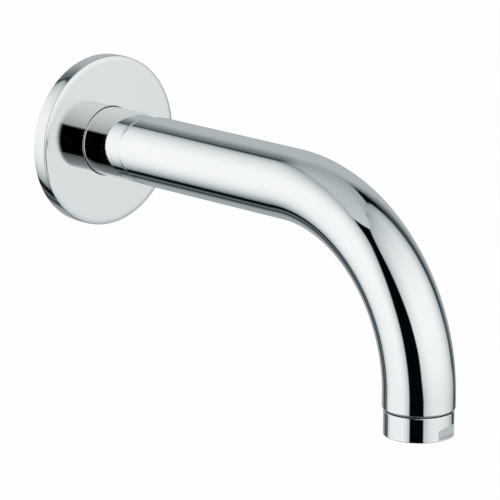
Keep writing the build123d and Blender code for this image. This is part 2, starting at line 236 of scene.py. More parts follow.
def grid_quads(grid):
    quads = np.stack([grid[:-1, :-1], grid[1:, :-1], grid[1:, 1:], grid[:-1, 1:]], axis=2)
    return quads.reshape(-1, 4, 3)


def make_piece(name, sheets, finishes):
    """One piece from sheets of points with exact normals, welded where the sheets meet.

    A sheet is (points, normals, number of its finish)."""
    corners = np.concatenate([grid_quads(place) for place, facing, finish in sheets])
    facings = np.concatenate([grid_quads(facing) for place, facing, finish in sheets])
    finish_of = np.concatenate([np.full(len(grid_quads(sheet[0])), sheet[2]) for sheet in sheets])
    sweep = np.cross(corners[:, 2] - corners[:, 0], corners[:, 3] - corners[:, 1])
    turned = np.einsum("ij,ij->i", sweep, facings.mean(axis=1)) < 0
    corners[turned] = corners[turned, ::-1]
    facings[turned] = facings[turned, ::-1]
    flat_corners = corners.reshape(-1, 3)
    keys = np.round(flat_corners / WELD + 0.25).astype(np.int64)
    _, first, number = np.unique(keys, axis=0, return_index=True, return_inverse=True)
    faces = []
    normals = []
    face_finishes = []
    for quad, facing, finish in zip(number.reshape(-1, 4).tolist(), facings, finish_of.tolist()):
        kept = [k for k in range(4) if quad[k] != quad[k - 1]]
        if len(kept) > 2:
            faces.append([quad[k] for k in kept])
            normals.extend(facing[k] for k in kept)
            face_finishes.append(finish)
    mesh = bpy.data.meshes.new(name)
    mesh.from_pydata(flat_corners[first].tolist(), [], faces)
    mesh.shade_smooth()
    mesh.polygons.foreach_set("material_index", face_finishes)
    mesh.normals_split_custom_set([unit(normal) for normal in normals])
    return place_piece(name, mesh, finishes)


def place_piece(name, mesh, finishes):
    piece = bpy.data.objects.new(name, mesh)
    bpy.context.scene.collection.objects.link(piece)
    for finish in finishes:
        mesh.materials.append(finish)
    return piece


def spout_tube(outside, inside):
    """Bent tube with a rounded nose end, and the grub screw's hole in its underside"""
    half_window = WINDOW_COLUMNS / 2 * 2 * math.pi / COLUMNS
    half_length = tube_radius * math.sin(half_window)
    window = (SCREW_PLACE - half_length, SCREW_PLACE + half_length)
    corners = [
        (tube_bore, tube_start, 0),
        (tube_radius - TUBE_END_CHAMFER, tube_start, 0),
        (tube_radius, tube_start + TUBE_END_CHAMFER, 0),
        (tube_radius, window[0], 0),
        (tube_radius, window[1], 0),
        (tube_radius, tube_end, NOSE_EDGE),
        (tube_bore, tube_end, 0),
        (tube_bore, window[1], 0),
        (tube_bore, window[0], 0),
    ]
    bend_turns = np.arange(0, math.pi / 2 + BEND_STEP / 2, BEND_STEP)
    window_rows = np.linspace(*window, WINDOW_COLUMNS + 1)
    stations = np.concatenate([straight_run + BEND_RADIUS * bend_turns, window_rows])
    beside_window = np.linspace(half_window, 2 * math.pi - half_window, COLUMNS - WINDOW_COLUMNS + 1)
    underside = 1.5 * math.pi
    sheets = []
    for run in section_runs(corners, stations):
        points = run[0]
        at_window = points[:, 1].min() > window[0] - WELD and points[:, 1].max() < window[1] + WELD
        angles = underside + beside_window if at_window else full_turn
        finish = 1 if points[:, 0].max() < tube_bore + WELD else 0
        sheets.append((*turned_sheet(run, spout_axis, angles), finish))

    # Square round the hole, as angles about the tube and distances from the wall
    side = np.linspace(-half_window, half_window, WINDOW_COLUMNS + 1)
    low = np.full(WINDOW_COLUMNS, window[0])
    high = np.full(WINDOW_COLUMNS, window[1])
    left = np.full(WINDOW_COLUMNS, -half_window)
    right = np.full(WINDOW_COLUMNS, half_window)
    rim_angles = np.concatenate([side[:-1], right, side[:0:-1], left, side[:1]])
    rim_places = np.concatenate([low, window_rows[:-1], high, window_rows[:0:-1], low[:1]])
    bearing = np.arctan2(rim_places - SCREW_PLACE, tube_radius * np.sin(rim_angles))
    hole_across = SCREW_HOLE_RADIUS * np.cos(bearing)
    hole_place = SCREW_PLACE + SCREW_HOLE_RADIUS * np.sin(bearing)
    hole_edges = []
    for radius, outward, finish in ((tube_radius, 1, 0), (tube_bore, -1, 1)):
        share = np.linspace(0, 1, WINDOW_RINGS)[:, None]
        across = (1 - share) * radius * np.sin(rim_angles) + share * hole_across
        place = (1 - share) * rim_places + share * hole_place
        depth = -np.sqrt(radius**2 - across**2)
        facing = outward * np.stack([across, np.zeros_like(across), depth], axis=2) / radius
        sheets.append((np.stack([across, -place, depth], axis=2), facing, finish))
        hole_edges.append(sheets[-1][0][-1])
    inward = np.column_stack([-np.cos(bearing), np.sin(bearing), np.zeros_like(bearing)])
    sheets.append((np.stack(hole_edges), np.stack([inward, inward]), 1))
    return make_piece("spout_tube_skin", sheets, [outside, inside])


def wall_flange(outside, inside):
    """Turned cup, softly rolled in front, with a crowned rim, a grooved collar and an open back"""
    bore = tube_radius + FLANGE_CLEARANCE
    collar = bore + FLANGE_COLLAR_WALL
    inner = flange_radius - FLANGE_RIM_WALL
    depth = flange_thickness - FLANGE_FACE_WALL
    groove_middle = (FLANGE_COLLAR_SETBACK + flange_thickness) / 2
    groove_low = groove_middle - RING_GROOVE_WIDTH / 2
    groove_high = groove_middle + RING_GROOVE_WIDTH / 2
    groove = tube_radius + RING_GROOVE_DEPTH
    rim_edge = flange_radius - FLANGE_RIM_CROWN
    roll_start = rim_edge - FLANGE_ROLL_WIDTH
    roll_middle = flange_thickness - FLANGE_ROLL_RADIUS
    rim_front = roll_middle + math.sqrt(FLANGE_ROLL_RADIUS**2 - FLANGE_ROLL_WIDTH**2)
    corners = [
        (roll_start, flange_thickness, 0),
        (bore, flange_thickness, FLANGE_BORE_EDGE),
        (bore, groove_high, 0),
        (groove, groove_high, 0),
        (groove, groove_low, 0),
        (bore, groove_low, 0),
        (bore, FLANGE_COLLAR_SETBACK, 0),
        (collar, FLANGE_COLLAR_SETBACK, 0),
        (collar, depth, 0),
        (inner, depth, 0),
        (inner, 0, 0),
        (rim_edge, 0, 0),
    ]

    # The rim's crown, the roll of the face, and the small edge rounding that touches both
    crown_radius = ((rim_front / 2) ** 2 + FLANGE_RIM_CROWN**2) / (2 * FLANGE_RIM_CROWN)
    crown_centre = np.array([flange_radius - crown_radius, rim_front / 2])
    roll_centre = np.array([roll_start, roll_middle])
    apart = roll_centre - crown_centre
    reach = np.linalg.norm(apart)
    from_crown = crown_radius - FLANGE_EDGE
    from_roll = FLANGE_ROLL_RADIUS - FLANGE_EDGE
    spread = math.acos((from_crown**2 + reach**2 - from_roll**2) / (2 * from_crown * reach))
    edge_start = bearing_of(apart) + spread
    edge_centre = crown_centre + from_crown * np.array([math.cos(edge_start), math.sin(edge_start)])
    edge_end = bearing_of(edge_centre - roll_centre)
    rim_back = bearing_of(np.array([rim_edge, 0]) - crown_centre)
    front_runs = [
        arc_run(crown_centre, crown_radius, rim_back, edge_start),
        arc_run(edge_centre, FLANGE_EDGE, edge_start, edge_end),
        arc_run(roll_centre, FLANGE_ROLL_RADIUS, edge_end, math.pi / 2),
    ]
    sheets = []
    for run in section_runs(corners)[:-1] + front_runs:
        behind = run[0][:, 0].max() < inner + WELD and run[0][:, 1].max() < depth + WELD
        sheets.append((*turned_sheet(run, wall_axis), 1 if behind else 0))
    return make_piece("wall_flange_skin", sheets, [outside, inside])


def aerator_housing(outside, inside):
    """Ring under the nose with two key flats, and the threaded sleeve above it"""
    ring_top = nose_level - AERATOR_GAP
    wall_top = ring_top - AERATOR_EDGE
    wall_foot = housing_bottom + AERATOR_EDGE
    flat_foot = housing_bottom + KEY_FLAT_LIP
    flat_top = flat_foot + KEY_FLAT_HEIGHT
    flat_reach = aerator_radius - KEY_FLAT_DEPTH
    corners = [
        (aerator_radius, ring_top, AERATOR_EDGE),
        (AERATOR_THREAD_RADIUS, ring_top, 0),
        (AERATOR_THREAD_RADIUS, housing_top, 0),
        (HOUSING_BORE, housing_top, 0),
        (HOUSING_BORE, housing_bottom + LIP_HEIGHT, 0),
        (MOUTH_RADIUS, housing_bottom + LIP_HEIGHT, 0),
        (MOUTH_RADIUS, wall_foot, 0),
        (MOUTH_RADIUS + AERATOR_EDGE, housing_bottom, 0),
        (aerator_radius, housing_bottom, AERATOR_EDGE),
    ]
    half = math.acos(flat_reach / aerator_radius)
    from_middle = half * np.linspace(-1, 1, FLAT_COLUMNS + 1)
    beside_flat = np.linspace(half, math.pi - half, COLUMNS // 2 - FLAT_COLUMNS + 1)
    one_side = np.concatenate([from_middle[:-1], beside_flat])
    first_flat = math.pi / 2 + KEY_FLAT_TURN
    flats = (first_flat, first_flat + math.pi)
    sheets = []
    for run in section_runs(corners):
        reaches, heights = run[0].T
        if reaches.min() > aerator_radius - WELD:
            continue
        bore_side = reaches.max() < AERATOR_THREAD_RADIUS + WELD and heights.max() > wall_foot + WELD
        for middle in flats:
            sheets.append((*turned_sheet(run, outlet_axis, middle + one_side), 1 if bore_side else 0))

    # Outer wall: plain beside the flats; at a flat a lip below it and a slope that runs out above it
    reach = np.full(FLAT_COLUMNS + 1, aerator_radius)
    cut = flat_reach / np.cos(from_middle)
    past_flat = aerator_radius * np.cos(from_middle) - flat_reach
    slope_top = flat_top + KEY_FLAT_RUNOUT * past_flat / KEY_FLAT_DEPTH
    levels = (wall_foot, flat_foot, flat_top, wall_top)
    foot, low, high, top = (np.full(FLAT_COLUMNS + 1, level) for level in levels)
    wall_rows = np.array([[aerator_radius, level] for level in levels])
    wall_run = (wall_rows, np.tile([1.0, 0.0], (len(wall_rows), 1)))
    for middle in flats:
        sheets.append((*turned_sheet(wall_run, outlet_axis, middle + beside_flat), 0))
        angles = middle + from_middle
        spokes = np.column_stack([np.cos(angles), np.sin(angles), 0 * angles])
        flat_facing = np.array([math.cos(middle), math.sin(middle), 0])
        slope_facing = unit(KEY_FLAT_RUNOUT * flat_facing - np.array([0, 0, KEY_FLAT_DEPTH]))
        bands = [
            (reach, foot, reach, low, spokes),
            (reach, low, cut, low, np.array([0, 0, 1])),
            (cut, low, cut, high, flat_facing),
            (cut, high, reach, slope_top, slope_facing),
            (reach, slope_top, reach, top, spokes),
        ]
        for start_reach, start_level, end_reach, end_level, facing in bands:
            rows = []
            for row_reach, row_level in ((start_reach, start_level), (end_reach, end_level)):
                row = row_reach[:, None] * spokes
                row[:, 1] -= projection
                row[:, 2] = row_level
                rows.append(row)
            place = np.stack(rows)
            sheets.append((place, np.broadcast_to(facing, place.shape), 0))
    return make_piece("aerator_ring_skin", sheets, [outside, inside])


def thread_drop(from_crest):
    """Depth of the rounded pipe thread below its crest, at a distance along the axis"""
    half_pitch = PIPE_THREAD_PITCH / 2
    arc = PIPE_THREAD_ROUNDING * math.cos(PIPE_THREAD_FLANK)
    flank_top = PIPE_THREAD_ROUNDING * (1 - math.sin(PIPE_THREAD_FLANK))

    def crest_arc(distance):
        inside = np.minimum(distance, arc)
        return PIPE_THREAD_ROUNDING - np.sqrt(PIPE_THREAD_ROUNDING**2 - inside**2)

    slope = (PIPE_THREAD_DEPTH - 2 * flank_top) / (half_pitch - 2 * arc)
    flank = flank_top + (from_crest - arc) * slope
    root = PIPE_THREAD_DEPTH - crest_arc(half_pitch - from_crest)
    drop = np.where(from_crest < arc, crest_arc(from_crest), flank)
    return np.where(from_crest > half_pitch - arc, root, drop)


def connection_nipple(brass):
    """Nipple with its real pipe thread, spigot grooves and key hexagon, as one closed turned mesh"""
    angles = np.linspace(0, 2 * math.pi, THREAD_COLUMNS, endpoint=False)
    level = np.ones(THREAD_COLUMNS)
    rings = [(WATERWAY_RADIUS * level, pipe_thread_end)]
    turns = pipe_thread_end / PIPE_THREAD_PITCH
    for into_wall in np.linspace(pipe_thread_end, 0, round(turns * THREAD_ROWS) + 1):
        along = into_wall / PIPE_THREAD_PITCH + angles / (2 * math.pi)
        from_crest = np.abs(along - np.round(along)) * PIPE_THREAD_PITCH
        runout = min(into_wall / PIPE_THREAD_RUNOUT, 1)
        radius = PIPE_THREAD_RADIUS - thread_drop(from_crest) * runout
        lead_in = PIPE_THREAD_RADIUS - PIPE_THREAD_CHAMFER + pipe_thread_end - into_wall
        rings.append((np.minimum(radius, lead_in), into_wall))
    grooves = [(SCREW_PLACE, SCREW_GROOVE_WIDTH, SCREW_GROOVE_RADIUS)]
    grooves += [(place, RING_GROOVE_WIDTH, NIPPLE_GROOVE_RADIUS) for place in NIPPLE_GROOVE_PLACES]
    rings.append((SPIGOT_RADIUS * level, 0))
    for place, width, bottom in grooves:
        rings.append((SPIGOT_RADIUS * level, -place + width / 2))
        rings.append((bottom * level, -place + width / 2))
        rings.append((bottom * level, -place - width / 2))
        rings.append((SPIGOT_RADIUS * level, -place - width / 2))
    rings.append((SPIGOT_RADIUS * level, nipple_tip + SPIGOT_TIP_CHAMFER))
    rings.append(((SPIGOT_RADIUS - SPIGOT_TIP_CHAMFER) * level, nipple_tip))
    from_flat = (angles + math.pi / 6) % (math.pi / 3) - math.pi / 6
    hexagon = NIPPLE_KEY_REACH / np.cos(math.pi / 6 - np.abs(from_flat))
    rings.append((hexagon, nipple_tip))
    rings.append((hexagon, nipple_tip + NIPPLE_KEY_DEPTH))
    rings.append((WATERWAY_RADIUS * level, nipple_tip + NIPPLE_KEY_DEPTH))
    vertices = []
    for radius, along in rings:
        heights = np.full(THREAD_COLUMNS, along)
        ring = np.column_stack([radius * np.cos(angles), heights, radius * np.sin(angles)])
        vertices.extend(ring.tolist())
    faces = []
    for row in range(len(rings)):
        here = row * THREAD_COLUMNS
        onward = (row + 1) % len(rings) * THREAD_COLUMNS
        for column in range(THREAD_COLUMNS):
            beside = (column + 1) % THREAD_COLUMNS
            faces.append((here + column, here + beside, onward + beside, onward + column))
    mesh = bpy.data.meshes.new("nipple_threaded")
    mesh.from_pydata(vertices, [], faces)
    mesh.shade_smooth()
    mesh.set_sharp_from_angle(angle=NIPPLE_SHARP_EDGE)
    return place_piece("nipple_threaded", mesh, [brass])


# Effects that several finishes share

def new_group(name, inputs, outputs):
    """Node group with its sockets: inputs as (name, kind, value), outputs as (name, kind)"""
    group = bpy.data.node_groups.new(name, "ShaderNodeTree")
    for socket, kind, value in inputs:
        item = group.interface.new_socket(socket, in_out="INPUT", socket_type=kind)
        item.default_value = value
    for socket, kind in outputs:
        group.interface.new_socket(socket, in_out="OUTPUT", socket_type=kind)
    return group, group.nodes.new("NodeGroupInput"), group.nodes.new("NodeGroupOutput")


def polish_haze_group():
    """Faint clouding of a polished or plated surface, between two roughnesses"""
    group, given, result = new_group(
        "polish_haze",
        [
            ("Cloud Scale", "NodeSocketFloat", 60.0),
            ("Smoothest", "NodeSocketFloat", 0.02),
            ("Hazy", "NodeSocketFloat", 0.05),
        ],
        [("Haze", "NodeSocketFloat"), ("Roughness", "NodeSocketFloat")],
    )
    coordinates = group.nodes.new("ShaderNodeTexCoord")
    cloud = group.nodes.new("ShaderNodeTexNoise")
    cloud.inputs["Detail"].default_value = 4.0
    spread = group.nodes.new("ShaderNodeMapRange")
    spread.inputs["From Min"].default_value = 0.3
    spread.inputs["From Max"].default_value = 0.7
    blend = group.nodes.new("ShaderNodeMapRange")
    link = group.links.new
    link(coordinates.outputs["Object"], cloud.inputs["Vector"])
    link(given.outputs["Cloud Scale"], cloud.inputs["Scale"])
    link(cloud.outputs["Fac"], spread.inputs["Value"])
    link(spread.outputs["Result"], blend.inputs["Value"])
    link(given.outputs["Smoothest"], blend.inputs["To Min"])
    link(given.outputs["Hazy"], blend.inputs["To Max"])
    link(spread.outputs["Result"], result.inputs["Haze"])
    link(blend.outputs["Result"], result.inputs["Roughness"])
    return group


def turning_marks_group():
    """Fine rings left by the turning tool, along an axis"""
    group, given, result = new_group(
        "turning_marks",
        [("Axis", "NodeSocketVector", (0.0, 1.0, 0.0)), ("Marks", "NodeSocketFloat", 6000.0)],
        [("Mark", "NodeSocketFloat")],
    )
    coordinates = group.nodes.new("ShaderNodeTexCoord")
    along = group.nodes.new("ShaderNodeVectorMath")
    along.operation = "DOT_PRODUCT"
    count = group.nodes.new("ShaderNodeMath")
    count.operation = "MULTIPLY"
    rings = group.nodes.new("ShaderNodeTexNoise")
    rings.noise_dimensions = "1D"
    rings.inputs["Scale"].default_value = 1.0
    rings.inputs["Detail"].default_value = 3.0
    link = group.links.new
    link(coordinates.outputs["Object"], along.inputs[0])
    link(given.outputs["Axis"], along.inputs[1])
    link(along.outputs["Value"], count.inputs[0])
    link(given.outputs["Marks"], count.inputs[1])
    link(count.outputs["Value"], rings.inputs["W"])
    link(rings.outputs["Fac"], result.inputs["Mark"])
    return group


def moulded_grain_group():
    """Fine grain of a moulded or foamed surface: soft specks over slow drift"""
    group, given, result = new_group(
        "moulded_grain",
        [("Grain Scale", "NodeSocketFloat", 3000.0), ("Drift Scale", "NodeSocketFloat", 120.0)],
        [("Grain", "NodeSocketFloat"), ("Drift", "NodeSocketFloat")],
    )
    coordinates = group.nodes.new("ShaderNodeTexCoord")
    grain = group.nodes.new("ShaderNodeTexNoise")
    grain.inputs["Detail"].default_value = 2.0
    drift = group.nodes.new("ShaderNodeTexNoise")
    link = group.links.new
    link(coordinates.outputs["Object"], grain.inputs["Vector"])
    link(coordinates.outputs["Object"], drift.inputs["Vector"])
    link(given.outputs["Grain Scale"], grain.inputs["Scale"])
    link(given.outputs["Drift Scale"], drift.inputs["Scale"])
    link(grain.outputs["Fac"], result.inputs["Grain"])
    link(drift.outputs["Fac"], result.inputs["Drift"])
    return group


# Finishes

def new_finish(name):
    """Node material with its Principled shader"""
    finish = bpy.data.materials.new(name)
    finish.use_nodes = True
    shader = finish.node_tree.nodes["Principled BSDF"]
    return finish, finish.node_tree.nodes, finish.node_tree.links.new, shader


def add_group(nodes, group, **values):
    """Place a shared effect, with values for its sockets, spelt with _ for a space"""
    node = nodes.new("ShaderNodeGroup")
    node.node_tree = group
    for socket, value in values.items():
        node.inputs[socket.replace("_", " ")].default_value = value
    return node


def tint_between(nodes, link, mask, first, second, shader):
    """Colour that drifts between two tints with a mask"""
    ramp = nodes.new("ShaderNodeValToRGB")
    ramp.color_ramp.elements[0].color = (*first, 1)
    ramp.color_ramp.elements[1].color = (*second, 1)
    link(mask, ramp.inputs["Fac"])
    link(ramp.outputs["Color"], shader.inputs["Base Color"])


def bump_from(nodes, link, height, shader, distance, strength=1.0):
    bump = nodes.new("ShaderNodeBump")
    bump.inputs["Strength"].default_value = strength
    bump.inputs["Distance"].default_value = distance
    link(height, bump.inputs["Height"])
    link(bump.outputs["Normal"], shader.inputs["Normal"])


def roughness_from(nodes, link, mask, low, high, shader):
    spread = nodes.new("ShaderNodeMapRange")
    spread.inputs["To Min"].default_value = low
    spread.inputs["To Max"].default_value = high
    link(mask, spread.inputs["Value"])
    link(spread.outputs["Result"], shader.inputs["Roughness"])


def chrome_plate(name, polish_haze, bright, dull):
    finish, nodes, link, shader = new_finish(name)
    shader.inputs["Metallic"].default_value = 1.0
    haze = add_group(nodes, polish_haze, Cloud_Scale=45.0, Smoothest=0.012, Hazy=0.03)
    link(haze.outputs["Roughness"], shader.inputs["Roughness"])
    tint_between(nodes, link, haze.outputs["Haze"], bright, dull, shader)
    return finish


def unpolished_plate(name, polish_haze, turning_marks, bright, dull):
    """Thin plating over turned brass, where no one sees it"""
    finish, nodes, link, shader = new_finish(name)
    shader.inputs["Metallic"].default_value = 1.0
    haze = add_group(nodes, polish_haze, Cloud_Scale=90.0, Smoothest=0.26, Hazy=0.42)
    marks = add_group(nodes, turning_marks, Marks=5000.0)
    link(haze.outputs["Roughness"], shader.inputs["Roughness"])
    tint_between(nodes, link, haze.outputs["Haze"], bright, dull, shader)
    bump_from(nodes, link, marks.outputs["Mark"], shader, 0.02 * MM)
    return finish


def turned_brass(name, polish_haze, turning_marks, axis, bright, dull):
    finish, nodes, link, shader = new_finish(name)
    shader.inputs["Metallic"].default_value = 1.0
    haze = add_group(nodes, polish_haze, Cloud_Scale=70.0, Smoothest=0.2, Hazy=0.34)
    marks = add_group(nodes, turning_marks, Axis=axis, Marks=7000.0)
    link(haze.outputs["Roughness"], shader.inputs["Roughness"])
    tint_between(nodes, link, haze.outputs["Haze"], bright, dull, shader)
    bump_from(nodes, link, marks.outputs["Mark"], shader, 0.03 * MM)
    return finish


def bare_steel(polish_haze):
    finish, nodes, link, shader = new_finish("bare_steel")
    shader.inputs["Metallic"].default_value = 1.0
    haze = add_group(nodes, polish_haze, Cloud_Scale=400.0, Smoothest=0.22, Hazy=0.38)
    link(haze.outputs["Roughness"], shader.inputs["Roughness"])
    tint_between(nodes, link, haze.outputs["Haze"], (0.64, 0.64, 0.63), (0.55, 0.55, 0.545), shader)
    return finish


def moulded_rubber(moulded_grain):
    finish, nodes, link, shader = new_finish("moulded_rubber")
    grain = add_group(nodes, moulded_grain, Grain_Scale=2500.0, Drift_Scale=150.0)
    tint_between(nodes, link, grain.outputs["Drift"], (0.022, 0.022, 0.024), (0.04, 0.04, 0.042), shader)
    roughness_from(nodes, link, grain.outputs["Grain"], 0.5, 0.75, shader)
    bump_from(nodes, link, grain.outputs["Grain"], shader, 0.03 * MM)
    return finish


def cell_foam(moulded_grain):
    """Closed-cell foam: cut cells over a slow drift of grey"""
    finish, nodes, link, shader = new_finish("cell_foam")
    grain = add_group(nodes, moulded_grain, Grain_Scale=1800.0, Drift_Scale=90.0)
    tint_between(nodes, link, grain.outputs["Drift"], (0.075, 0.075, 0.08), (0.125, 0.125, 0.13), shader)
    roughness_from(nodes, link, grain.outputs["Grain"], 0.8, 0.95, shader)
    coordinates = nodes.new("ShaderNodeTexCoord")
    cells = nodes.new("ShaderNodeTexVoronoi")
    cells.inputs["Scale"].default_value = 1400.0
    link(coordinates.outputs["Object"], cells.inputs["Vector"])
    bump_from(nodes, link, cells.outputs["Distance"], shader, 0.25 * MM)
    return finish


def satin_plastic(moulded_grain):
    finish, nodes, link, shader = new_finish("satin_plastic")
    grain = add_group(nodes, moulded_grain, Grain_Scale=4000.0, Drift_Scale=200.0)
    tint_between(nodes, link, grain.outputs["Drift"], (0.70, 0.71, 0.71), (0.78, 0.79, 0.79), shader)
    roughness_from(nodes, link, grain.outputs["Grain"], 0.36, 0.52, shader)
    bump_from(nodes, link, grain.outputs["Grain"], shader, 0.01 * MM)
    return finish


# Studio: white panels, a grey ceiling and a dark curtain behind the gaps between them. A place in it
# is an azimuth from -Y towards +X and an elevation, in degrees. Each card glows by its own amount and
# thins out at its edges, where the card behind it shows. Three small cards make a collar round the tube.
# They face the flange and show only where tube and flange mirror each other.

PANEL_RADIUS = 2.5
SHEET_RADIUS = 2.52
CEILING_RADIUS = 2.6
CURTAIN_RADIUS = 2.7
CARD_FOOT = -60.0
FLOOR_LEVEL = -2.75
FLOOR_SIDE = 60.0
CARD_STEP = 0.75                  # degrees between the points of a card
LIGHT_TINT = (0.993, 1.0, 1.0)
DIM_TINT = (1.115, 1.0, 0.955)    # powers: the dimmer a card glows, the cooler its light
FLOOR_WHITE = 0.9                 # share of plain white in the floor, the rest takes the shadow
COLLAR_PLACE = 45.0 * MM          # from the wall
COLLAR_APART = 0.2 * MM           # the white card lies in front of the net
COLLAR_ROWS = 80
COLLAR_WHITE = 0.88
COLLAR_WHITE_START = 16.0 * MM    # from the tube's axis, as the other reaches
COLLAR_WHITE_END = 35.8 * MM
COLLAR_WHITE_EDGE = 3.3 * MM
COLLAR_WIDEST = 161.0             # degrees round the tube where the white card is widest
COLLAR_SLIM_TURN = 120.0          # that many degrees away it is slimmer by COLLAR_SLIM
COLLAR_SLIM = 6.6 * MM
COLLAR_NET_START = 24.0 * MM
COLLAR_NET_END = 61.6 * MM
COLLAR_MIRROR_END = 600.0 * MM
COLLAR_MIRROR_GAIN = 1.13         # makes up for what the flange's plate takes
SECOND_REFLECTION = 1.5           # a ray that was mirrored more often than this


def card_finish(name, front, second_only=False):
    """One-sided card that thins out by its painted cover: its front is a light of its painted glow or a
    mirror. A card may show in the reflections of reflections only."""
    finish = bpy.data.materials.new(name)
    finish.use_nodes = True
    nodes = finish.node_tree.nodes
    link = finish.node_tree.links.new
    nodes.clear()
    paint = nodes.new("ShaderNodeAttribute")
    paint.attribute_name = "glow"
    clear = nodes.new("ShaderNodeBsdfTransparent")
    side = nodes.new("ShaderNodeNewGeometry")
    bare = nodes.new("ShaderNodeMath")
    bare.operation = "SUBTRACT"
    bare.inputs[0].default_value = 1.0
    see_through = nodes.new("ShaderNodeMath")
    see_through.operation = "MAXIMUM"
    mix = nodes.new("ShaderNodeMixShader")
    output = nodes.new("ShaderNodeOutputMaterial")
    if front == "light":
        shine = nodes.new("ShaderNodeEmission")
        link(paint.outputs["Color"], shine.inputs["Color"])
    else:
        shine = nodes.new("ShaderNodeBsdfAnisotropic")
        shine.inputs["Color"].default_value = (*[COLLAR_MIRROR_GAIN] * 3, 1)
        shine.inputs["Roughness"].default_value = 0.0
    link(paint.outputs["Alpha"], bare.inputs[1])
    link(bare.outputs["Value"], see_through.inputs[0])
    link(side.outputs["Backfacing"], see_through.inputs[1])
    hidden = see_through.outputs["Value"]
    if second_only:
        path = nodes.new("ShaderNodeLightPath")
        depth = nodes.new("ShaderNodeMath")
        depth.operation = "ADD"
        first = nodes.new("ShaderNodeMath")
        first.operation = "LESS_THAN"
        first.inputs[1].default_value = SECOND_REFLECTION
        either = nodes.new("ShaderNodeMath")
        either.operation = "MAXIMUM"
        link(path.outputs["Glossy Depth"], depth.inputs[0])
        link(path.outputs["Is Shadow Ray"], depth.inputs[1])
        link(depth.outputs["Value"], first.inputs[0])
        link(first.outputs["Value"], either.inputs[0])
        link(hidden, either.inputs[1])
        hidden = either.outputs["Value"]
    link(hidden, mix.inputs["Fac"])
    link(shine.outputs[0], mix.inputs[1])
    link(clear.outputs["BSDF"], mix.inputs[2])
    link(mix.outputs["Shader"], output.inputs["Surface"])
    return finish


def add_card(name, finish, places, glow, cover):
    """Card from a grid of places, with its glow and its cover at each"""
    rows, columns = glow.shape
    faces = []
    for row in range(rows - 1):
        for column in range(columns - 1):
            corner = (slice(row, row + 2), slice(column, column + 2))
            here = row * columns + column
            if cover[corner].any():
                faces.append((here, here + columns, here + columns + 1, here + 1))
    mesh = bpy.data.meshes.new(name)
    mesh.from_pydata(places.reshape(-1, 3).tolist(), [], faces)
    colours = np.empty((rows * columns, 4))
    colours[:, :3] = glow.reshape(-1, 1) ** np.array(DIM_TINT) * np.array(LIGHT_TINT)
    colours[:, 3] = cover.ravel()
    layer = mesh.color_attributes.new("glow", "FLOAT_COLOR", "POINT")
    layer.data.foreach_set("color", colours.ravel())
    card = place_piece(name, mesh, [finish])
    card.visible_camera = False
    return card


def hang_card(name, finish, radius, azimuths, elevations, paint):
    """Card as a patch of a sphere: paint gives the glow and the cover at each azimuth and elevation"""
    azimuth, elevation = np.meshgrid(azimuths, elevations)
    az = np.radians(azimuth)
    el = np.radians(elevation)
    places = radius * np.stack([np.sin(az) * np.cos(el), -np.cos(az) * np.cos(el), np.sin(el)], axis=2)
    return add_card(name, finish, places, *paint(azimuth, elevation))


def collar_card(name, finish, place, reaches, turns, paint):
    """Flat card round the tube that faces the flange: paint gives the glow and the cover at each reach
    from the tube's axis and each turn about it, in degrees from +X over the top"""
    turn, reach = np.meshgrid(turns[::-1], reaches)
    angle = np.radians(turn)
    places = np.stack([reach * np.cos(angle), 0 * reach - place, reach * np.sin(angle)], axis=2)
    card = add_card(name, finish, places, *paint(reach, turn))
    card.visible_diffuse = False


def steps(low, high):
    return np.linspace(low, high, int((high - low) / CARD_STEP) + 1)


def along(place, points):
    """Value at a place between listed (place, value) points"""
    return np.interp(place, *zip(*points))


def soft(distance, width):
    """From nothing at an edge to full at a width inside it"""
    share = np.clip(distance / width, 0, 1)
    return share * share * (3 - 2 * share)


def near(distance, width):
    """From one at an edge to nothing at a width inside it, fast at first"""
    return np.clip(1 - distance / width, 0, 1) ** 2


def hump(distance, width):
    return np.exp(-((distance / width) ** 2))


def above_middle(el):
    """From nothing well below the spout's level to one well above it"""
    return soft(el + 20, 40)


def left_panel(az, el):
    """Large soft box on the left, behind the camera's left shoulder and round towards the wall"""
    left_edge = [(-60, 212), (-45, 201), (-30, 195), (-20, 193), (-12, 190), (0, 184), (44, 181)]
    left_edge += [(50, 190), (62, 205)]
    right_edge = [(-60, 292), (-17, 291), (0, 288.5), (10, 286.5), (37, 287), (42, 284.5)]
    right_edge += [(46, 278.5), (62, 276)]
    top_edge = [(180, 56), (205, 61), (245, 62), (256, 58.5), (264, 57), (272, 52), (279, 47)]
    from_left = az - along(el, left_edge)
    from_right = along(el, right_edge) - az
    upward = np.maximum(1 - 0.44 * (np.maximum(el - 15, 0) / 37) ** 2, 0.41)
    downward = np.maximum(1 - 0.40 * (np.maximum(5 - el, 0) / 40) ** 3, 0.2)
    sideward = (1 - 0.53 * near(from_right, 31)) * (1 - 0.55 * near(from_left, 30))
    glow = 1.006 * upward * downward * sideward
    return glow, soft(from_right, 4) * soft(from_left, 6) * soft(along(az, top_edge) - el, 3)


